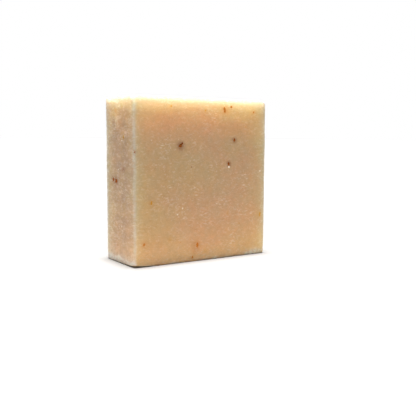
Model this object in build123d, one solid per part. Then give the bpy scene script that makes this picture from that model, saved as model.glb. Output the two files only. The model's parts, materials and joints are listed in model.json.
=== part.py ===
from build123d import *

import os

# A bar of handmade soap: one slice cut from a poured loaf, standing on the loaf's poured face.
#
# The frame is in millimetres. +X runs across the bar, from one mould wall to the other. +Y runs
# through the slice, from the front cut face to the back one. +Z is up. The origin is the middle of
# the foot, where the bar rests. The front cut face looks along -Y.
#
# The bar is one solid, as the real one is. Its section is a rectangle with planed upright edges.
# The rim that lay on the mould's floor is softly rounded and is now on top. The rim of the poured
# face is bevelled, and is now the foot. Two corners are worn.

# Overall sizes of the slice.
bar_width = 68.0
cut_thickness = 27.0
bar_height = 70.0

# Edges. The upright ones are planed flat, and a planed edge is as wide as its leg times 1.41.
upright_bevel_leg = 0.9
mould_rim_radius = 0.8
foot_bevel_inset = 0.3
foot_bevel_rise = 0.4

# A worn corner is cut off by a plane. Its two reaches are measured from the sharp corner along the
# level edges, across the bar and through it, and its rise along the upright edge.
foot_corner_across = 9.0
foot_corner_through = 7.0
foot_corner_rise = 1.0
top_corner_across = 2.4
top_corner_through = 2.4
top_corner_rise = 2.2

os.makedirs("parts", exist_ok=True)


def cut_block():
    """The slice as the wire leaves it, standing on the origin."""
    return Box(
        bar_width,
        cut_thickness,
        bar_height,
        align=(Align.CENTER, Align.CENTER, Align.MIN),
    )


def plane_upright_edges(bar):
    """The four upright edges, planed flat."""
    return chamfer(bar.edges().filter_by(Axis.Z), upright_bevel_leg)


def round_mould_rim(bar):
    """The top rim, rounded as the floor of the mould left it."""
    top_face = bar.faces().sort_by(Axis.Z)[-1]
    return fillet(top_face.edges(), mould_rim_radius)


def bevel_foot(bar):
    """The rim of the poured face, bevelled higher up the wall than it goes in under the bar."""
    foot_face = bar.faces().sort_by(Axis.Z)[0]
    return chamfer(
        foot_face.edges(),
        length=foot_bevel_inset,
        length2=foot_bevel_rise,
        reference=foot_face,
    )


def wear_corner(bar, side, end, across, through, rise):
    """Wears off the front corner on one side (-1 or 1 along X) at one end (0 foot, 1 top)."""
    corner = Vector(side * bar_width / 2, -cut_thickness / 2, end * bar_height)
    up = 1 - 2 * end
    inward = Vector(-side / across, 1 / through, up / rise)
    cutting_plane = Plane(origin=corner + Vector(-side * across, 0, 0), z_dir=inward)
    return split(bar, bisect_by=cutting_plane, keep=Keep.TOP)


def soap_bar():
    """The whole bar."""
    bar = plane_upright_edges(cut_block())
    bar = round_mould_rim(bar)
    bar = bevel_foot(bar)
    bar = wear_corner(
        bar,
        side=-1,
        end=0,
        across=foot_corner_across,
        through=foot_corner_through,
        rise=foot_corner_rise,
    )
    return wear_corner(
        bar,
        side=1,
        end=1,
        across=top_corner_across,
        through=top_corner_through,
        rise=top_corner_rise,
    )


export_step(soap_bar(), "parts/soap_bar.step")
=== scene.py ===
# %% [markdown]
# # A bar of handmade soap
# This lesson finishes one slice of handmade soap that stands on edge. Such soap is poured into a
# long wooden mould, left to set, and cut into slices with a wire. Each kind of face has its own
# look: the two wire-cut faces are smooth and waxy, the narrow sides that touched the mould are
# paler and mottled, and the rim of the poured face carries a dry white crust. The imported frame
# gives the bar's true size and place. Blender measures in metres, and MM turns millimetres into
# them.

# %% Load the frame
import json
import math
import random

import bpy
import numpy as np
from mathutils import Euler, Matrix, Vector, noise
from mathutils.kdtree import KDTree

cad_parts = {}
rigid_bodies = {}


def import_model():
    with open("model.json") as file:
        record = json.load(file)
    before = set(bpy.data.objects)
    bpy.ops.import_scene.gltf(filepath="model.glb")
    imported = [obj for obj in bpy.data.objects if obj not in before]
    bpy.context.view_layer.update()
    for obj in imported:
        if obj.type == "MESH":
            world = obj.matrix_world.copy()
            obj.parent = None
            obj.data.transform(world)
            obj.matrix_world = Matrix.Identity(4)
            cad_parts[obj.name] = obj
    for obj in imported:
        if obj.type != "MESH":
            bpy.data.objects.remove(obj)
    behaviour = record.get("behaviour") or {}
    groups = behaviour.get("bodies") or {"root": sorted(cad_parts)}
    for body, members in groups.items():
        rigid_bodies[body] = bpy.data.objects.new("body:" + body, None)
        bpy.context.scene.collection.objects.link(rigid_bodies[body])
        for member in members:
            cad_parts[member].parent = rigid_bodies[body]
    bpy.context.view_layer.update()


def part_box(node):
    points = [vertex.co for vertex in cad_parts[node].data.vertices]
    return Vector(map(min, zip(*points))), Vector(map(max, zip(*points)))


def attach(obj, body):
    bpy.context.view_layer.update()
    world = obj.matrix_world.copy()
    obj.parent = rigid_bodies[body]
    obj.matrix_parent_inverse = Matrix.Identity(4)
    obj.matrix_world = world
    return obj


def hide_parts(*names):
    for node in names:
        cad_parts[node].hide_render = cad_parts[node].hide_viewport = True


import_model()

MM = 0.001
bar_low, bar_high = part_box("soap_bar")
bar_size = bar_high - bar_low
print("bar:", [round(side / MM, 2) for side in bar_size], "mm")

# %% [markdown]
# ## The camera
# The camera stands at the height of the bar's upper half, to the left of its large face, so that
# it sees that face and one narrow side. A polar place round the bar is easier to read and to
# change than three coordinates: a bearing, a distance and a height. The aim is then three angles.

# %% The camera
CAMERA_BEARING = math.radians(31.95)
CAMERA_DISTANCE = 276.6 * MM
CAMERA_HEIGHT = 52.8 * MM
CAMERA_TURN = math.radians(-33.85)
CAMERA_DIP = math.radians(6.40)
CAMERA_ROLL = math.radians(0.35)
CAMERA_LENS = 53.1
CAMERA_NEAR = 10 * MM
CAMERA_FAR = 100.0


def add_camera():
    """The camera, which the scene then uses."""
    data = bpy.data.cameras.new("camera")
    data.lens = CAMERA_LENS
    data.clip_start = CAMERA_NEAR
    data.clip_end = CAMERA_FAR
    camera = bpy.data.objects.new("camera", data)
    camera.location = (
        -CAMERA_DISTANCE * math.sin(CAMERA_BEARING),
        -CAMERA_DISTANCE * math.cos(CAMERA_BEARING),
        CAMERA_HEIGHT,
    )
    aim = Euler((math.pi / 2 - CAMERA_DIP, 0, CAMERA_TURN)).to_matrix()
    roll = Euler((0, 0, CAMERA_ROLL)).to_matrix()
    camera.rotation_euler = (aim @ roll).to_euler()
    bpy.context.scene.collection.objects.link(camera)
    bpy.context.scene.camera = camera
    return camera


camera = add_camera()
print("camera at", [round(c / MM, 1) for c in camera.location], "mm")

# %% [markdown]
# ## Shader sums in plain Python
# A procedural material is a sum of masks and colours. Wired by hand, each plus or minus is one more
# node to name and link. A small class that wraps one output socket and overloads the operators lets
# the material read like the formula that it is.

# %% A shader value
# A Mix node has sockets for every kind of value. These numbers pick the ones for colours.
MIX_UNDER, MIX_OVER, MIX_RESULT = 6, 7, 2


class Flow:
    """One output socket of a node tree. Sums and products of flows add Math nodes."""

    def __init__(self, tree, socket):
        self.tree = tree
        self.socket = socket

    def node(self, kind, settings=None, sockets=None, output=0):
        """Adds a node, sets it up, feeds its sockets and returns one of its outputs."""
        return add_node(self.tree, kind, settings, sockets, output)

    def sum_of(self, operation, first, second):
        return self.node("ShaderNodeMath", {"operation": operation}, {0: first, 1: second})

    def __add__(self, other):
        return self.sum_of("ADD", self, other)

    def __radd__(self, other):
        return self.sum_of("ADD", other, self)

    def __sub__(self, other):
        return self.sum_of("SUBTRACT", self, other)

    def __rsub__(self, other):
        return self.sum_of("SUBTRACT", other, self)

    def __mul__(self, other):
        return self.sum_of("MULTIPLY", self, other)

    def __rmul__(self, other):
        return self.sum_of("MULTIPLY", other, self)

    def __pow__(self, other):
        return self.sum_of("POWER", self, other)

    def clamped(self):
        """The value held between 0 and 1."""
        return self.node(
            "ShaderNodeMath", {"operation": "ADD", "use_clamp": True}, {0: self, 1: 0.0}
        )

    def between(self, low, high):
        """A soft step: 0 below low, 1 above high."""
        return self.node(
            "ShaderNodeMapRange",
            {"interpolation_type": "SMOOTHSTEP"},
            {"Value": self, "From Min": low, "From Max": high},
        )

    def paint(self, under, over):
        """Colour under where this mask is 0, colour over where it is 1."""
        return self.node(
            "ShaderNodeMix",
            {"data_type": "RGBA"},
            {"Factor": self, MIX_UNDER: under, MIX_OVER: over},
            MIX_RESULT,
        )


def add_node(tree, kind, settings=None, sockets=None, output=0):
    """Adds a node of this kind to a tree, as Flow.node does."""
    made = tree.nodes.new(kind)
    for name, value in (settings or {}).items():
        setattr(made, name, value)
    for key, value in (sockets or {}).items():
        feed(tree, made.inputs[key], value)
    return Flow(tree, made.outputs[output])


def feed(tree, socket, value):
    """Links a flow to a socket, or sets the socket to a plain number or colour."""
    if isinstance(value, Flow):
        tree.links.new(value.socket, socket)
    elif socket.type == "RGBA":
        socket.default_value = (*value, 1.0)
    else:
        socket.default_value = value


def new_finish(name):
    """An empty material: its tree, its Principled shader and the object's own coordinates."""
    material = bpy.data.materials.new(name)
    material.use_nodes = True
    tree = material.node_tree
    shader = tree.nodes["Principled BSDF"]
    place = add_node(tree, "ShaderNodeTexCoord", output="Object")
    return material, tree, shader, place


# %% [markdown]
# ## Light, floor and background
# Handmade soap lets light in for several millimetres, so a strong soft light from above makes its
# top rim glow, while the upright faces are lit by what is round them. A sun lamp a few degrees wide
# gives that soft overhead light evenly, however far the floor runs. The room adds a cool, dim
# light of its own, apart from the plain white that the camera sees. Two warm cards lie on the
# floor beside the bar, as a studio would lay them, and warm the lower half of both faces.

# %% Light, floor and background
TOP_LIGHT = 9.6
TOP_LIGHT_ANGLE = math.radians(12)
ROOM_LIGHT = (0.13, 0.165, 0.20)
ROOM_SEEN = (1.0, 1.0, 1.0)
FLOOR_COLOUR = (0.34, 0.33, 0.32)
FLOOR_ROUGHNESS = 0.9
FLOOR_REACH = 30.0
CARD_LIGHT = (1.0, 0.62, 0.24)
CARD_GLOW = 0.7
CARD_DEPTH = 70 * MM
CARD_GAP = 0.2 * MM
CARD_HEIGHT = 0.15 * MM
FRONT_CARD_SHARE = 1.6
LEFT_CARD_SHARE = 1.2


def add_top_light():
    """A soft light from straight above."""
    lamp = bpy.data.lights.new("top_light", "SUN")
    lamp.energy = TOP_LIGHT
    lamp.angle = TOP_LIGHT_ANGLE
    light = bpy.data.objects.new("top_light", lamp)
    bpy.context.scene.collection.objects.link(light)


def add_room():
    """A white room: dim and cool as a light, plain white behind the bar."""
    world = bpy.data.worlds.new("room")
    bpy.context.scene.world = world
    world.use_nodes = True
    tree = world.node_tree
    seen = add_node(tree, "ShaderNodeLightPath", output="Is Camera Ray")
    feed(tree, tree.nodes["Background"].inputs["Color"], seen.paint(ROOM_LIGHT, ROOM_SEEN))


def add_card(name, middle_x, middle_y, size_x, size_y):
    """A warm card that lies on the floor beside the bar and shines upwards."""
    lamp = bpy.data.lights.new(name, "AREA")
    lamp.shape = "RECTANGLE"
    lamp.size = size_x
    lamp.size_y = size_y
    lamp.color = CARD_LIGHT
    lamp.energy = CARD_GLOW * math.pi * size_x * size_y
    card = bpy.data.objects.new(name, lamp)
    card.location = (middle_x, middle_y, bar_low.z + CARD_HEIGHT)
    card.rotation_euler = (math.pi, 0, 0)
    card.visible_camera = False
    bpy.context.scene.collection.objects.link(card)


def add_cards():
    """One card along the front face and one along the left side, each a little longer."""
    away = CARD_GAP + CARD_DEPTH / 2
    add_card("front_card", 0, bar_low.y - away, FRONT_CARD_SHARE * bar_size.x, CARD_DEPTH)
    add_card("left_card", bar_low.x - away, 0, CARD_DEPTH, LEFT_CARD_SHARE * bar_size.y)


def add_floor():
    """A plain pale floor, level with the bar's foot."""
    material, tree, shader, place = new_finish("pale_floor")
    feed(tree, shader.inputs["Base Color"], FLOOR_COLOUR)
    feed(tree, shader.inputs["Roughness"], FLOOR_ROUGHNESS)
    feed(tree, shader.inputs["Specular IOR Level"], 0.0)
    mesh = bpy.data.meshes.new("floor")
    signs = [(-1, -1), (1, -1), (1, 1), (-1, 1)]
    corners = [(x * FLOOR_REACH, y * FLOOR_REACH, bar_low.z) for x, y in signs]
    mesh.from_pydata(corners, [], [(0, 1, 2, 3)])
    mesh.materials.append(material)
    floor = bpy.data.objects.new("floor", mesh)
    bpy.context.scene.collection.objects.link(floor)


add_top_light()
add_room()
add_cards()
add_floor()
bpy.context.scene.view_settings.view_transform = "Standard"
print("top light, room, cards and floor made")

# %% [markdown]
# ## The grid that becomes the bar
# The bar could be a cube with a Bevel and a Subdivision modifier, but its rims and corners are all
# different and none is quite even. A better start is the skin of the frame's own box, divided into
# cells: half a millimetre wide over the flat faces and finer near the edges, where the shape is.
# Each face keeps its flat place on a square sheet too, so that the finish can be baked.

# %% The grid
EDGE_BAND = 4 * MM
EDGE_CELL = 0.3 * MM
FACE_CELL = 0.5 * MM
SHEET_GAP = 1.5 * MM


def grid_lines(low, high):
    """Places along one side of the box, closer together near its two ends."""
    edge_cells = round(EDGE_BAND / EDGE_CELL)
    middle_cells = round((high - low - 2 * EDGE_BAND) / FACE_CELL)
    return np.concatenate(
        [
            np.linspace(low, low + EDGE_BAND, edge_cells + 1),
            np.linspace(low + EDGE_BAND, high - EDGE_BAND, middle_cells + 1)[1:-1],
            np.linspace(high - EDGE_BAND, high, edge_cells + 1),
        ]
    )


def sheet_corner(axis, end):
    """Where one face of the box starts on the sheet, with front and back below, the rest above."""
    wide, deep, tall = bar_size
    right = end * (max(wide, tall) + SHEET_GAP) + SHEET_GAP
    above_large_faces = tall + 2 * SHEET_GAP
    up = {1: SHEET_GAP, 2: above_large_faces, 0: above_large_faces + deep + SHEET_GAP}
    return right, up[axis]


def box_skin(lines):
    """The points, square cells and sheet places of the box's skin."""
    points, cells, sheet, numbers = [], [], [], {}
    sheet_side = 2 * max(bar_size) + 3 * SHEET_GAP

    def number(steps):
        if steps not in numbers:
            numbers[steps] = len(points)
            points.append([lines[k][steps[k]] for k in range(3)])
        return numbers[steps]

    for axis, (across, along) in {0: (2, 1), 1: (0, 2), 2: (0, 1)}.items():
        for end in (0, 1):
            start = sheet_corner(axis, end)
            faces_out = (end == 1) == (axis == 2)
            for i in range(len(lines[across]) - 1):
                for j in range(len(lines[along]) - 1):
                    square = [(i, j), (i + 1, j), (i + 1, j + 1), (i, j + 1)]
                    if not faces_out:
                        square.reverse()
                    cell = []
                    for a, b in square:
                        steps = [0, 0, 0]
                        steps[axis] = end * (len(lines[axis]) - 1)
                        steps[across], steps[along] = a, b
                        cell.append(number(tuple(steps)))
                        sheet += [
                            (start[0] + lines[across][a] - lines[across][0]) / sheet_side,
                            (start[1] + lines[along][b] - lines[along][0]) / sheet_side,
                        ]
                    cells.append(cell)
    return np.array(points), cells, sheet


lines = [grid_lines(bar_low[k], bar_high[k]) for k in range(3)]
skin, cells, sheet = box_skin(lines)
print("grid:", len(skin), "points,", len(cells), "cells")

# %% [markdown]
# ## Edges, rims and worn corners
# A convex block is what is left after plane cuts, so the bar's shape can be written as a list of
# planes. How far a point lies outside the block is the largest of its distances to those planes.
# A soft version of "largest" rounds every edge a little, as handling does. Each grid point then
# slides in towards the block's middle until that distance is zero. The planed edges come from a
# knife, so their depth wanders a little along the bar, and so does the bevel of the foot.

# %% The planes
PLANED_LEG = 0.9 * MM
RIM_LEG = 0.4 * MM
FOOT_INSET = 0.3 * MM
FOOT_RISE = 0.4 * MM
WORN_FOOT = Vector((9.0, 7.0, 1.0)) * MM
WORN_TOP = Vector((2.4, 2.4, 2.2)) * MM
EDGE_SOFTNESS = 0.16 * MM
FOOT_SOFTNESS = 0.06 * MM
FOOT_SOFTENING_RISE = 2.5 * MM
KNIFE_WANDER = 0.16 * MM
RIM_WANDER = 0.3 * KNIFE_WANDER
FOOT_WANDER = 0.12 * MM


def wandering(points, size, seed):
    """A smooth noise from -1 to 1 at each point, with lumps about this size."""
    shift = Vector((seed * 7.3, seed * 3.1, seed * 5.7))
    return np.array([noise.noise(Vector(p) / size + shift) for p in points])


def plane_through(normal, point):
    """A cutting plane, as its unit normal and its distance from the origin."""
    unit = Vector(normal).normalized()
    return np.array(unit), unit.dot(Vector(point))


def cutting_planes():
    """The six faces, the planed edges, both rims and the two worn corners, each with its wander."""
    left, front, foot = bar_low
    right, back, top = bar_high
    walls = [(-1, 0, left, front), (1, 0, right, back), (0, -1, left, front), (0, 1, right, back)]
    planes = [(*plane_through((0, 0, -1), bar_low), 0), (*plane_through((0, 0, 1), bar_high), 0)]
    for nx, ny, x, y in walls:
        planes.append((*plane_through((nx, ny, 0), (x, y, 0)), 0))
        rim = (x - nx * RIM_LEG, y - ny * RIM_LEG, top)
        planes.append((*plane_through((nx, ny, 1), rim), RIM_WANDER))
        bevel = (x - nx * FOOT_INSET, y - ny * FOOT_INSET, foot)
        slope = (nx * FOOT_RISE, ny * FOOT_RISE, -FOOT_INSET)
        planes.append((*plane_through(slope, bevel), FOOT_WANDER))
    for x, nx in ((left, -1), (right, 1)):
        for y, ny in ((front, -1), (back, 1)):
            planed = (x - nx * PLANED_LEG, y, 0)
            planes.append((*plane_through((nx, ny, 0), planed), KNIFE_WANDER))
    corners = [(-1, left, -1, foot, WORN_FOOT), (1, right, 1, top, WORN_TOP)]
    for side, x, end, z, worn in corners:
        slope = (side / worn.x, -1 / worn.y, end / worn.z)
        planes.append((*plane_through(slope, (x - side * worn.x, front, z)), 0))
    return planes


planes = cutting_planes()
normals = np.array([normal for normal, distance, wander in planes])
print("planes:", len(planes))


# %% Slide the grid onto the block
# A wandering plane goes in by a steady share of its wander, and by a slow and a quick noise.
WANDER_STEADY, WANDER_SLOW, WANDER_QUICK = 0.5, 0.8, 0.45
SLOW_LUMPS = 9 * MM
QUICK_LUMPS = 2.6 * MM
HALVINGS = 22


def distances(points, offsets):
    """How far each point lies outside each plane."""
    return points @ normals.T - offsets


def softly_largest(values, softness):
    """The largest value of each row, raised where two are nearly level, and each one's share."""
    peak = values.max(axis=1, keepdims=True)
    spread = np.exp((values - peak) / softness[:, None])
    return peak[:, 0] + softness * np.log(spread.sum(axis=1)), spread


def carve(points):
    """The block's surface: each point slid inwards, its outward direction and its edge distance."""
    wander = np.array([wander for normal, distance, wander in planes])
    flat = np.array([distance for normal, distance, wander in planes])
    slow = wandering(points, SLOW_LUMPS, seed=1)[:, None]
    quick = wandering(points, QUICK_LUMPS, seed=2)[:, None]
    offsets = flat - wander * (WANDER_STEADY + WANDER_SLOW * slow + WANDER_QUICK * quick)
    height = points[:, 2] - bar_low.z
    softness = EDGE_SOFTNESS + FOOT_SOFTNESS * np.exp(-height / FOOT_SOFTENING_RISE)
    anchors = np.clip(points, np.array(bar_low) + EDGE_BAND, np.array(bar_high) - EDGE_BAND)
    near, far = np.zeros(len(points)), np.ones(len(points))
    for _ in range(HALVINGS):
        middle = (near + far) / 2
        tried = anchors + (points - anchors) * middle[:, None]
        outside, spread = softly_largest(distances(tried, offsets), softness)
        near = np.where(outside < 0, middle, near)
        far = np.where(outside < 0, far, middle)
    surface = anchors + (points - anchors) * near[:, None]
    gaps = distances(surface, offsets)
    level, spread = softly_largest(gaps, softness)
    outward = spread @ normals
    outward /= np.linalg.norm(outward, axis=1, keepdims=True)
    edge_distance = -np.sort(gaps, axis=1)[:, -2]
    return surface, outward, edge_distance


surface, outward, edge_distance = carve(skin)
print("block carved; nearest edge up to", round(edge_distance.max() / MM, 1), "mm away")

# %% [markdown]
# ## Flecks and where they lie
# Ground peel and husk go into the soap before it is poured, so flecks lie anywhere in it, and the
# wire bares some of them. A few large ones give this bar its face, so they are listed one by one:
# each has a face, a place across it and a place up it, in millimetres. Smaller ones are scattered
# by a seeded draw, so that every run gives the same bar.

# %% Places on the faces
FACES = {
    "front": ((1, 0, 0), (0, 0, 1), (0, -1, 0)),
    "back": ((-1, 0, 0), (0, 0, 1), (0, 1, 0)),
    "left": ((0, -1, 0), (0, 0, 1), (-1, 0, 0)),
    "right": ((0, 1, 0), (0, 0, 1), (1, 0, 0)),
    "top": ((1, 0, 0), (0, 1, 0), (0, 0, 1)),
}
bar_middle = (bar_low + bar_high) / 2


def on_face(face, across, up):
    """The point on a flat face of the block. Across is counted from the face's middle line."""
    sideways, upwards, outwards = (Vector(v) for v in FACES[face])
    half = Vector(bar_size) / 2
    point = bar_middle + outwards * abs(outwards.dot(half)) + sideways * across * MM
    if face == "top":
        return point + upwards * up * MM
    return point + Vector((0, 0, up * MM - half.z))


# %% The flecks listed one by one
# Each is: kind, face, place across, place up, length, width, turn in degrees.
FLECKS = [
    ("husk", "front", -11.9, 50.0, 2.5, 1.5, 10),
    ("husk", "front", -11.3, 50.7, 1.1, 0.8, 70),
    ("husk", "front", 15.9, 52.5, 1.6, 1.1, 80),
    ("husk", "front", 13.1, 42.1, 1.7, 1.0, 85),
    ("peel", "front", 10.7, 65.6, 2.9, 1.5, 100),
    ("peel", "front", 13.9, 66.8, 1.5, 1.2, 50),
    ("zest", "front", -26.1, 26.5, 2.2, 1.0, 80),
    ("peel", "front", -3.7, 6.9, 2.9, 1.4, 85),
    ("zest", "front", 30.8, 18.4, 2.6, 1.3, 85),
    ("peel", "front", 26.4, 64.9, 1.2, 0.9, 60),
    ("peel", "front", -29.4, 9.4, 1.7, 0.9, 75),
    ("zest", "front", -16.7, 66.3, 1.1, 0.8, 40),
    ("zest", "front", 0.3, 64.9, 1.1, 0.8, 80),
    ("peel", "front", -6.2, 1.8, 1.5, 1.0, 70),
    ("petal", "left", -5.7, 35.6, 2.1, 1.7, 60),
    ("petal", "left", -2.9, 35.1, 2.5, 2.1, 20),
    ("zest", "left", 4.7, 53.3, 1.6, 1.1, 80),
    ("husk", "front", -33.7, 47.5, 0.8, 0.6, 10),
]
# A fleck under the surface only tints it. Each is: kind, face, place across, place up, radius.
BURIED = [
    ("peel", "front", 26.4, 64.9, 1.1),
    ("peel", "front", -29.4, 9.4, 1.4),
    ("peel", "front", -4.9, 4.2, 0.9),
    ("zest", "front", 0.6, 4.0, 1.1),
    ("zest", "front", 12.5, 20.0, 0.9),
    ("zest", "front", -17.3, 10.6, 1.3),
    ("husk", "left", 4.2, 40.0, 1.1),
    ("peel", "left", -2.9, 64.6, 0.9),
    ("husk", "front", -33.7, 47.6, 0.9),
    ("husk", "front", 33.2, 0.6, 0.9),
]
# White grains of undissolved salt. Each is: face, place across, place up, length, width, turn.
GRAINS = [
    ("front", 13.2, 40.3, 1.4, 0.9, 0),
    ("front", 30.6, 38.6, 0.9, 0.7, 40),
    ("front", -10.8, 23.7, 0.9, 0.6, 60),
    ("front", -13.3, 20.8, 0.7, 0.6, 20),
    ("left", -0.5, 40.2, 1.0, 0.5, 30),
    ("left", 1.8, 15.9, 1.2, 0.6, 60),
    ("left", 3.0, 52.2, 1.0, 0.5, -30),
]
# Where fine white grains gather. Each is: face, place across, place up, radius.
GRAIN_CLOUDS = [
    ("front", -19.5, 50.5, 5.0),
    ("front", -5.2, 52.0, 3.0),
    ("front", 3.5, 61.0, 4.0),
    ("front", -20.5, 42.0, 4.5),
    ("front", -6.4, 43.1, 3.0),
    ("front", 5.5, 40.3, 4.5),
    ("front", -18.0, 30.5, 5.0),
    ("front", -5.0, 30.0, 4.0),
    ("front", -11.8, 22.5, 4.0),
    ("front", 0.4, 17.7, 4.0),
    ("front", 9.0, 29.0, 5.0),
    ("front", 21.0, 34.0, 5.0),
    ("front", 14.0, 8.6, 4.0),
    ("front", 22.0, 20.0, 5.0),
    ("left", 5.3, 52.5, 4.0),
    ("left", 0.9, 15.8, 4.0),
    ("left", 1.0, 33.0, 6.5),
    ("left", -3.0, 58.0, 4.0),
    ("left", 4.5, 33.0, 3.5),
    ("left", -7.5, 14.5, 3.5),
]
# How many small flecks each face gets, and how long they are at most. The front and the left side
# have their larger ones listed above, so theirs are shorter.
SCATTER_COUNTS = {"front": 5, "back": 24, "left": 3, "right": 9, "top": 7}
SCATTER_LENGTH = {"front": 0.75, "back": 1.5, "left": 0.75, "right": 1.5, "top": 1.5}
SCATTER_KINDS = ["husk", "peel", "peel", "zest", "zest"]
SCATTER_SEED = 11
SCATTER_MARGIN = 3
SHORTEST_SHARE = 0.4
WIDTH_SHARE = 0.6


def scatter_flecks():
    """Small flecks on every face, most of them on faces where none is listed."""
    draw = random.Random(SCATTER_SEED)
    flecks = []
    for face, count in SCATTER_COUNTS.items():
        sideways, upwards, outwards = (Vector(v) for v in FACES[face])
        half_across = abs(sideways.dot(bar_size)) / MM / 2 - SCATTER_MARGIN
        reach_up = abs(upwards.dot(bar_size)) / MM
        lowest = reach_up / 2 if face == "top" else 0
        for _ in range(count):
            kind = draw.choice(SCATTER_KINDS)
            up = draw.uniform(SCATTER_MARGIN, reach_up - SCATTER_MARGIN) - lowest
            across = draw.uniform(-half_across, half_across)
            length = draw.uniform(SHORTEST_SHARE, 1.0) * SCATTER_LENGTH[face]
            width = length * WIDTH_SHARE
            flecks.append((kind, face, across, up, length, width, draw.uniform(0, 180)))
    return flecks


flecks = FLECKS + scatter_flecks() + [("grain", *grain) for grain in GRAINS]
print("flecks:", len(flecks), "bared and", len(BURIED), "buried")

# %% [markdown]
# ## The body's surface
# The wire leaves each face nearly flat, with slow swells from drying and a fine tooth. The bevel
# of the foot crumbles, and each husk has dragged a small pit. These are all heights along the
# surface's own outward direction, added up before the mesh is made, so they are true shape.

# %% Heights on the surface
# Where the outward direction's Z is below this, the surface is the one that the bar stands on.
DOWNWARD = -0.9
# How high each unevenness is at most, and how wide its lumps are.
SWELL, SWELL_LUMPS = 0.10 * MM, 21 * MM
TOOTH, TOOTH_LUMPS = 0.022 * MM, 1.7 * MM
CRUMB, CRUMB_LUMPS = 0.10 * MM, 1.1 * MM
CHIP, CHIP_LUMPS = 0.55 * MM, 2.8 * MM
CHIP_LEVEL = 0.28
FOOT_CHIP_SHARE = 0.25
PIT_DEPTH = 0.28 * MM
PIT_LENGTH = 1.5
PIT_REACH = 0.75
EDGE_REACH = 0.9 * MM
FOOT_REACH = 1.6 * MM


def near_spot(points, spot, radius):
    """A soft round mask: 1 at the spot, fading out over about the radius."""
    away = np.linalg.norm(points - np.array(spot), axis=1)
    return np.exp(-((away / radius) ** 2))


def surface_heights(points, outward, edge_distance):
    """The height added at each point, outwards."""
    edge = np.exp(-edge_distance / EDGE_REACH)
    foot = np.exp(-(points[:, 2] - bar_low.z) / FOOT_REACH)
    swell = SWELL * wandering(points, SWELL_LUMPS, seed=3)
    tooth = TOOTH * wandering(points, TOOTH_LUMPS, seed=4)
    crumbs = CRUMB * edge * wandering(points, CRUMB_LUMPS, seed=5)
    deepest = np.maximum(wandering(points, CHIP_LUMPS, seed=6) - CHIP_LEVEL, 0)
    chips = CHIP * edge * (FOOT_CHIP_SHARE + foot) * deepest
    pits = np.zeros(len(points))
    for kind, face, across, up, length, width, turn in flecks:
        if kind == "husk":
            spot = on_face(face, across, up)
            reach = PIT_REACH * length * MM
            pits += PIT_DEPTH * length / PIT_LENGTH * near_spot(points, spot, reach)
    sits = outward[:, 2] < DOWNWARD
    return np.where(sits, 0.0, swell + tooth + crumbs - chips - pits)


heights = surface_heights(surface, outward, edge_distance)
shaped = surface + outward * heights[:, None]
shaped[:, 2] = np.maximum(shaped[:, 2], bar_low.z)
print("heights from", round(heights.min() / MM, 2), "to", round(heights.max() / MM, 2), "mm")


# %% Masks carried by the points
STAIN_SHARE = 0.7
EDGE_LINE = 0.55 * MM
NEAR_EDGE_TINT_REACH = 2.6 * MM
FAR_EDGE_SHADE_REACH = 2.2 * MM
FRONT_LEFT_REACH = 8 * MM
LEAST_FRONT_LEFT_WEIGHT = 0.05


def ridge(height, middle, reach):
    """A soft band: 1 at the middle height, fading out over about the reach."""
    return np.exp(-(((height - middle) / reach) ** 2))


def faces_sideways(outward, least, most):
    """0 where the surface looks less to the side than the least, 1 where more than the most."""
    return np.clip((np.abs(outward[:, 0]) - least) / (most - least), 0, 1)


def soft_sum(points, spots):
    """One mask from many soft spots."""
    total = np.zeros(len(points))
    for spot, radius in spots:
        total = np.maximum(total, near_spot(points, spot, radius))
    return total


def tint_spots(kinds):
    """The stain round each bared fleck of these kinds, and each buried fleck."""
    stains = [
        (on_face(face, across, up), STAIN_SHARE * length * MM)
        for kind, face, across, up, length, width, turn in flecks
        if kind in kinds
    ]
    buried = [
        (on_face(face, across, up), radius * MM)
        for kind, face, across, up, radius in BURIED
        if kind in kinds
    ]
    return stains + buried


def upright_distance(points):
    """How far each point lies from the nearest upright edge of the block."""
    across = np.minimum(points[:, 0] - bar_low.x, bar_high.x - points[:, 0])
    through = np.minimum(points[:, 1] - bar_low.y, bar_high.y - points[:, 1])
    return np.maximum(np.hypot(across, through) - 0.5 * PLANED_LEG, 0)


def front_left_weight(points):
    """Near 1 at the front left upright edge and small at the others. It puts the pale edge line and
    the painted corner tint there, and the painted shade at the other edges.
    """
    away = np.hypot(points[:, 0] - bar_low.x, points[:, 1] - bar_low.y)
    return LEAST_FRONT_LEFT_WEIGHT + (1 - LEAST_FRONT_LEFT_WEIGHT) * np.exp(-away / FRONT_LEFT_REACH)


# %% The crust at the foot
# The band on the walls wanders up and down, slowly and quickly. The line is on the cut faces.
BAND_HEIGHT, BAND_REACH, BAND_STRENGTH = 1.7 * MM, 1.2 * MM, 1.5
BAND_SLOW, BAND_SLOW_LUMPS = 1.3 * MM, 4 * MM
BAND_QUICK, BAND_QUICK_LUMPS = 0.6 * MM, 1.4 * MM
LINE_HEIGHT, LINE_REACH, LINE_STRENGTH = 0.45 * MM, 0.35 * MM, 0.7
LINE_SHARE, LINE_CONTRAST, LINE_LUMPS = 0.5, 2.2, 6 * MM
# White chips along the front of the foot. Each is: place across, place up, radius.
FOOT_CHIPS = [
    (23.5, 0.7, 1.0),
    (26.0, 1.0, 1.3),
    (28.3, 1.6, 1.2),
    (30.5, 1.0, 1.1),
    (6.0, 0.5, 0.8),
]


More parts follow.
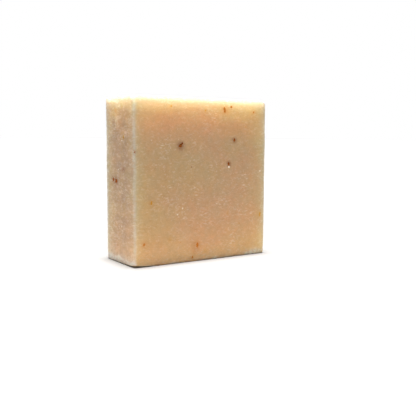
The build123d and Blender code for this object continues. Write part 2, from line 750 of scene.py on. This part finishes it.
def crust_mask(points, outward, height):
    """The dry crust: a ragged band above the foot of both walls, a broken line on the cut faces."""
    wall = faces_sideways(outward, 0.3, 0.7)
    slow = BAND_SLOW * wandering(points, BAND_SLOW_LUMPS, seed=8)
    quick = BAND_QUICK * wandering(points, BAND_QUICK_LUMPS, seed=9)
    band = BAND_STRENGTH * ridge(height, BAND_HEIGHT + slow + quick, BAND_REACH) * wall
    line = LINE_STRENGTH * ridge(height, LINE_HEIGHT, LINE_REACH) * (1 - wall)
    broken = LINE_SHARE + LINE_CONTRAST * wandering(points, LINE_LUMPS, seed=7)
    chips = soft_sum(points, [(on_face("front", a, u), r * MM) for a, u, r in FOOT_CHIPS])
    return np.clip(band + line * np.clip(broken, 0, 1) + chips, 0, 1)


# %% All the masks
FOOT_FADE_REACH = 7 * MM
UPPER_GLOW_HEIGHT, UPPER_GLOW_REACH = 58 * MM, 6 * MM
# How far the painted shade under the top rim reaches.
RIM_REACH = 2.5 * MM


def body_masks(points, outward):
    """Named masks that the soap's finish reads, one number a point."""
    height = points[:, 2] - bar_low.z
    depth = bar_high.z - points[:, 2]
    away, front_left = upright_distance(points), front_left_weight(points)
    gatherings = [(on_face(face, a, u), r * MM) for face, a, u, r in GRAIN_CLOUDS]
    return {
        # The pale line on the front left planed edge: partly a dry bevel, partly a painted
        # highlight.
        "edge": np.exp(-((away / EDGE_LINE) ** 2)) * front_left,
        # Near the front left edge, a painted tint of the light that passes through the corner.
        "near_edge_light_tint": np.exp(-away / NEAR_EDGE_TINT_REACH) * front_left,
        # Painted shade along the upright edges except the front left one, set against the light
        # that glows through them.
        "far_edge_shade": np.exp(-away / FAR_EDGE_SHADE_REACH) * (1 - front_left),
        # Fades up from the foot. It carries a painted warm bounce glow, the chalky haze and a
        # rosier tint on the narrow sides.
        "foot": np.exp(-height / FOOT_FADE_REACH),
        # A band below the rim that carries a painted glow of the top light.
        "upper_glow": ridge(height, UPPER_GLOW_HEIGHT, UPPER_GLOW_REACH),
        # Painted shade just under the top rim, set against the glow there.
        "rim": np.exp(-depth / RIM_REACH),
        "crust": crust_mask(points, outward, height),
        "wall": faces_sideways(outward, 0.5, 0.9),
        "brown_stain": soft_sum(points, tint_spots(["husk", "petal"])),
        "orange_stain": soft_sum(points, tint_spots(["peel"])),
        "yellow_stain": soft_sum(points, tint_spots(["zest"])),
        "grain_cloud": soft_sum(points, gatherings),
    }


masks = body_masks(shaped, outward)
print("masks:", ", ".join(masks))


# %% Make the body
def mesh_piece(name, points, cells, material):
    """A smooth-shaded mesh object that moves with the bar and wears one material."""
    mesh = bpy.data.meshes.new(name)
    mesh.from_pydata([tuple(p) for p in points], [], cells)
    mesh.materials.append(material)
    mesh.shade_smooth()
    piece = bpy.data.objects.new(name, mesh)
    bpy.context.scene.collection.objects.link(piece)
    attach(piece, "root")
    return piece


soap_material, soap_tree, soap_shader, soap_place = new_finish("honey_soap")
body = mesh_piece("soap_body", shaped, cells, soap_material)
body.data.uv_layers.new(name="OFBake").data.foreach_set("uv", sheet)
for name, values in masks.items():
    body.data.attributes.new(name, "FLOAT", "POINT").data.foreach_set("value", values)
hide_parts("soap_bar")
print("body:", len(body.data.polygons), "cells")

# %% [markdown]
# ## The soap's finish
# The soap is one honey colour, but never even: it drifts towards pink and towards straw, it holds
# white wisps and specks, and it is pale where it has dried along the foot. Along the front left
# planed edge it carries a pale line, partly a dry bevel and partly a painted highlight, and its
# edges, top and foot carry painted light and shade. A painted picture could show all that, but
# noise needs no picture and has no seams. So every pattern is a noise at its own true size, and
# every one has its own seed.

# %% Noises and marks
WISP_SHARPNESS = 260.0


def body_mask(name):
    """A mask carried by the body's points."""
    return add_node(soap_tree, "ShaderNodeAttribute", {"attribute_name": name}, output="Fac")


def lumps(place, size, detail=2.0, roughness=0.5, seed=0.0):
    """Noise from 0 to 1 with lumps about this size. Another seed gives another pattern."""
    return place.node(
        "ShaderNodeTexNoise",
        {"noise_dimensions": "4D"},
        {"Vector": place, "W": seed, "Scale": 1 / size, "Detail": detail, "Roughness": roughness},
    )


def wisps(place, size, seed):
    """Short curled marks: where one noise crosses its middle and a second one lets it."""
    crossing = lumps(place, size, 1.0, seed=seed) - 0.5
    line = 1.0 - (crossing * crossing * WISP_SHARPNESS).clamped()
    return line * lumps(place, 0.8 * size, 0.0, seed=seed + 5).between(0.42, 0.62)


def specks(place, spacing, radius, share):
    """Round specks, one to a cell of this spacing, in this share of the cells."""
    cells = {"Vector": place, "Scale": 1 / spacing}
    away = place.node("ShaderNodeTexVoronoi", sockets=cells)
    colour = place.node("ShaderNodeTexVoronoi", sockets=cells, output="Color")
    lot = colour.node("ShaderNodeSeparateColor", sockets={"Color": colour})
    reach = lot.between(1 - share, 1.0) * (1.3 * radius / spacing)
    return (reach - away).between(0.0, 0.5 * radius / spacing)


def squeezed(place, turn, x, y, z):
    """The object's coordinates, turned about the bar's depth, so that lumps grow by x, y and z."""
    return place.node(
        "ShaderNodeMapping",
        sockets={"Vector": place, "Rotation": (0, turn, 0), "Scale": (1 / x, 1 / y, 1 / z)},
    )


# %% [markdown]
# ## Patterns in the soap
# Soap thickens while it is stirred, so its marks are curds, curled wisps and short strokes. Those
# lean with the pour, and the fine white ones gather in clouds. The narrow sides rubbed along the
# mould, so their blotches and scuffs are drawn out through the bar.

# %% Patterns in the soap
POUR_LEAN = math.radians(-12)

edge, near_edge_light_tint, foot, wall = (body_mask(n) for n in ("edge", "near_edge_light_tint", "foot", "wall"))
cloudy = body_mask("grain_cloud") * 0.75 + lumps(soap_place, 8 * MM, seed=4) * 0.55
gathered = cloudy.clamped()
drift = lumps(soap_place, 24 * MM).between(0.35, 0.65)
small_drift = lumps(soap_place, 4 * MM, 3.0, seed=2).between(0.3, 0.7)
grit = lumps(soap_place, 0.35 * MM, 1.0)
curd = lumps(soap_place, 1.3 * MM, 4.0, 0.65)
cloud = lumps(soap_place, 4 * MM, 2.0, seed=3)

leaning = squeezed(soap_place, POUR_LEAN, 1.5, 2.0, 0.8)
pale_wisps = wisps(leaning, 1.3 * MM, seed=1.0) * (0.3 + gathered * 0.7)
dark_wisps = wisps(leaning, 1.6 * MM, seed=9.0)
flattened = squeezed(soap_place, POUR_LEAN, 2.2, 2.4, 0.7)
strokes = specks(flattened, 1.15 * MM, 0.34 * MM, share=0.5) * gathered.between(0.3, 0.75)
dots = specks(soap_place, 1.3 * MM, 0.26 * MM, share=0.3) * gathered.between(0.1, 0.6)

rubbed = squeezed(soap_place, 0, 1, 2.2, 1)
blotch = lumps(rubbed, 5 * MM, 3.0, seed=6)
scuff = lumps(rubbed, 1.1 * MM, 3.0, 0.6, seed=7)
ash_patch = lumps(rubbed, 3 * MM, 5.0, 0.65, seed=8).between(0.53, 0.70)
edge_line_patch = lumps(soap_place, 4 * MM, 3.0, 0.6, seed=12).between(0.35, 0.65)
crust_grain = lumps(rubbed, 1.1 * MM, 4.0, 0.6).between(0.25, 0.5)
haze = (foot ** 2.5) * curd.between(0.30, 0.60)
print("patterns:", len(soap_tree.nodes), "nodes")

# %% [markdown]
# ## Coats of colour
# The colour is laid on in coats, as a painter would lay them. Each coat is a mask times its
# strength, and a colour, and it lies over the coats before it: the slow drifts, then painted light
# and shade, which is a tint of light through the front left corner, painted shade at the other
# upright edges and under the top rim, a painted glow of the top light below the rim and a painted
# warm bounce glow towards the foot; then the rose and the ash on the narrow sides, the pale front
# left edge line, partly a dry bevel and partly a painted highlight, and the crust, the stains round
# the flecks, and last the fine marks.

# %% Coats of colour
HONEY = (0.580, 0.408, 0.216)
ROSY = (0.606, 0.380, 0.224)
# Straw: the soap's own paler drift, and near the front left edge a painted tint of light through
# the corner.
STRAW = (0.490, 0.425, 0.285)
# The next four colours are painted light and shade: shade for the upright edges except the front
# left one, a glow of the top light below the rim, shade just under the rim, and a warm bounce glow
# towards the foot.
FAR_EDGE_PAINTED_SHADE = (0.270, 0.150, 0.060)
UPPER_PAINTED_GLOW = (0.700, 0.430, 0.230)
RIM_SHADE = (0.440, 0.320, 0.225)
FOOT_PAINTED_GLOW = (0.800, 0.460, 0.200)
WALL_ROSE = (0.530, 0.345, 0.225)
ASH = (0.880, 0.780, 0.650)
# The pale line of the front left planed edge: partly a dry bevel, partly a painted highlight.
DRY_EDGE_AND_HIGHLIGHT = (0.570, 0.575, 0.545)
CHALK = (0.990, 0.850, 0.710)
WARM_CHALK = (0.970, 0.800, 0.600)
HUSK_STAIN = (0.300, 0.085, 0.025)
PEEL_STAIN = (0.600, 0.260, 0.070)
ZEST_STAIN = (0.620, 0.340, 0.090)
SHADE = (0.520, 0.300, 0.135)
FROST = (0.760, 0.670, 0.530)

coats = [
    (small_drift * 0.30, STRAW),
    # Painted tint of light through the front left corner, a little less red to offset the extra
    # light there.
    (near_edge_light_tint * 0.9, STRAW),
    # Painted shade along the upright edges except the front left one, set against the light that
    # glows through them.
    (body_mask("far_edge_shade") * 0.95, FAR_EDGE_PAINTED_SHADE),
    # Painted glow of the top light, in a band below the rim.
    (body_mask("upper_glow") * 0.45, UPPER_PAINTED_GLOW),
    # Painted shade just under the top rim, set against its glow.
    (body_mask("rim") * 0.8, RIM_SHADE),
    # Painted warm bounce light towards the foot.
    (foot * 0.7, FOOT_PAINTED_GLOW),
    (wall * small_drift * 0.9, WALL_ROSE),
    (wall * ash_patch * 0.4, ASH),
    (wall * scuff.between(0.48, 0.75) * (0.1 + gathered * 0.5), ASH),
    (wall * (foot ** 0.5) * 0.6, WALL_ROSE),
    # The pale front left edge line: partly a dry bevel, partly a painted highlight.
    (edge * (curd * 0.5 + edge_line_patch * 0.35), DRY_EDGE_AND_HIGHLIGHT),
    (wall * haze * 0.9, CHALK),
    (body_mask("crust") * crust_grain, wall.paint(WARM_CHALK, CHALK)),
    (body_mask("brown_stain") * 0.6, HUSK_STAIN),
    (body_mask("orange_stain") * 0.5, PEEL_STAIN),
    (body_mask("yellow_stain") * 0.4, ZEST_STAIN),
    (dark_wisps * 0.26, SHADE),
    (pale_wisps * (0.45 + wall * 0.2), FROST),
    (strokes * 0.55, FROST),
    (dots * 0.6, FROST),
]
colour = drift.paint(HONEY, ROSY)
for mask, tint in coats:
    colour = mask.paint(colour, tint)
print("coats:", len(coats))

# %% [markdown]
# ## Light and dark, and the light inside
# Curds and grit also make the soap a little lighter and darker, so the colour is scaled by a tone
# that swings about 1. The light that soap lets in is set once for the whole bar: red and green
# travel a little further in it than blue. The colour then does the rest, because blue is absorbed
# soonest. The soap is waxy, so its gloss is low and broken up by a fine bump.

# %% Light and dark, and the light inside
SCATTER_LENGTHS = (27.0, 29.0, 24.0)
SOAP_IOR = 1.45
SOAP_GLOSS = 0.3
SOAP_ROUGHNESS = 0.46
BUMP_STRENGTH = 0.5
BUMP_DEPTH = 0.12 * MM


def swing(noise_flow, amount):
    """A noise as a swing about zero. The amount is the whole width of the swing."""
    return (noise_flow - 0.5) * amount


tone = 1.0 + swing(curd, 0.27) + swing(grit, 0.27) + swing(cloud, 0.15)
# Near the foot the tone is raised: painted bounce light.
tone = tone + wall * (swing(blotch, 0.35) + swing(scuff, 0.2) - 0.05) + foot * 0.18
scaled = {"Vector": colour, "Scale": tone}
toned = colour.node("ShaderNodeVectorMath", {"operation": "SCALE"}, scaled)
relief = {
    "Strength": BUMP_STRENGTH,
    "Distance": BUMP_DEPTH,
    "Height": grit * 0.5 + curd * 0.6 + pale_wisps * 0.3 + strokes * 0.5,
}
soap_sockets = {
    "Base Color": toned,
    "Normal": colour.node("ShaderNodeBump", sockets=relief),
    "Roughness": SOAP_ROUGHNESS + swing(curd, 0.2) + edge * 0.2,
    "Subsurface Weight": 1.0,
    "Subsurface Radius": SCATTER_LENGTHS,
    "Subsurface Scale": MM,
    "IOR": SOAP_IOR,
    "Specular IOR Level": SOAP_GLOSS,
}
for name, value in soap_sockets.items():
    feed(soap_tree, soap_shader.inputs[name], value)
print("soap finish:", len(soap_tree.nodes), "nodes")

# %% [markdown]
# ## The flecks
# A fleck of peel or husk is a thin, irregular flake. A flake is a lens with an uneven outline: one
# ring of points at its rim, one halfway in, and a middle point on each side. Each is set into the
# carved surface where it lies and follows its dips, so that only its upper skin stands proud. All
# flakes of one kind are one mesh, because they share one finish.

# %% Make the flecks
FLAKE_POINTS = 11
FLAKE_PROUD = 0.09 * MM
FLAKE_SUNK = 0.10 * MM
# From the middle of the flake's top to the middle of its underside: how far out, and how high.
FLAKE_RINGS = [
    (0, FLAKE_PROUD),
    (0.6, 0.7 * FLAKE_PROUD),
    (1, -0.3 * FLAKE_PROUD),
    (0, -FLAKE_SUNK),
]
LEAST_RAGGED, MOST_RAGGED = 0.72, 1.15
SURFACE_POINTS = 3

finder = KDTree(len(shaped))
for number, point in enumerate(shaped):
    finder.insert(point, number)
finder.balance()


def flake(face, across, up, length, width, turn, draw):
    """The points and faces of one flake, set into the body's surface."""
    spot, number, gap = finder.find(on_face(face, across, up))
    out = Vector(outward[number]).normalized()
    sideways = Vector(FACES[face][0])
    sideways = (sideways - out * sideways.dot(out)).normalized()
    upwards = out.cross(sideways)
    points, faces = [], []
    ragged = [draw.uniform(LEAST_RAGGED, MOST_RAGGED) for _ in range(FLAKE_POINTS)]
    c, s = math.cos(math.radians(turn)), math.sin(math.radians(turn))
    for share, lift in FLAKE_RINGS:
        for k in range(1 if share == 0 else FLAKE_POINTS):
            angle = 2 * math.pi * k / FLAKE_POINTS
            x = math.cos(angle) * length / 2 * share * ragged[k] * MM
            y = math.sin(angle) * width / 2 * share * ragged[k] * MM
            target = spot + sideways * (x * c - y * s) + upwards * (x * s + y * c)
            nearest = finder.find_n(target, SURFACE_POINTS)
            level = sum((near - spot).dot(out) for near, number, gap in nearest) / SURFACE_POINTS
            points.append(target + out * (level + lift))
    under = 1 + 2 * FLAKE_POINTS
    for k in range(FLAKE_POINTS):
        after = (k + 1) % FLAKE_POINTS
        inner, rim = 1 + k, 1 + FLAKE_POINTS + k
        inner_after, rim_after = 1 + after, 1 + FLAKE_POINTS + after
        faces.append((0, inner, inner_after))
        faces.append((inner, rim, rim_after, inner_after))
        faces.append((rim, under, rim_after))
    return points, faces


# %% The flecks' finish
PATCH_SIZE = 0.4 * MM
FLECK_GLOSS = 0.05
CRINKLE_STRENGTH = 0.6
CRINKLE_DEPTH = 0.05 * MM
# Each kind's darker tone, its lighter one and its roughness.
FLECK_TONES = {
    "husk": ((0.230, 0.060, 0.009), (0.400, 0.120, 0.020), 0.7),
    "petal": ((0.260, 0.062, 0.010), (0.440, 0.130, 0.024), 0.7),
    "peel": ((0.450, 0.150, 0.025), (0.580, 0.230, 0.050), 0.6),
    "zest": ((0.540, 0.260, 0.045), (0.640, 0.360, 0.090), 0.6),
    "grain": ((0.820, 0.740, 0.620), (0.900, 0.840, 0.740), 0.4),
}


def fleck_finish(name, dark, light, roughness):
    """A dry plant scrap or grain: two tones in fine patches, with a crinkled surface."""
    material, tree, shader, place = new_finish(name)
    patches = lumps(place, PATCH_SIZE, 3.0)
    relief = {"Strength": CRINKLE_STRENGTH, "Distance": CRINKLE_DEPTH, "Height": patches}
    feed(tree, shader.inputs["Base Color"], patches.between(0.35, 0.65).paint(dark, light))
    feed(tree, shader.inputs["Roughness"], roughness + swing(patches, 0.3))
    feed(tree, shader.inputs["Specular IOR Level"], FLECK_GLOSS)
    feed(tree, shader.inputs["Normal"], place.node("ShaderNodeBump", sockets=relief))
    return material


# %% Add the flecks
def add_flecks(kind):
    """All bared flecks of one kind, as one piece."""
    draw = random.Random(len(kind) + ord(kind[0]))
    points, faces = [], []
    for fleck in flecks:
        if fleck[0] == kind:
            more_points, more_faces = flake(*fleck[1:], draw)
            faces += [tuple(i + len(points) for i in f) for f in more_faces]
            points += more_points
    finish = fleck_finish(f"{kind}_scrap", *FLECK_TONES[kind])
    piece = mesh_piece(f"{kind}_flecks", points, faces, finish)
    print(piece.name, len(faces), "faces")


for kind in FLECK_TONES:
    add_flecks(kind)
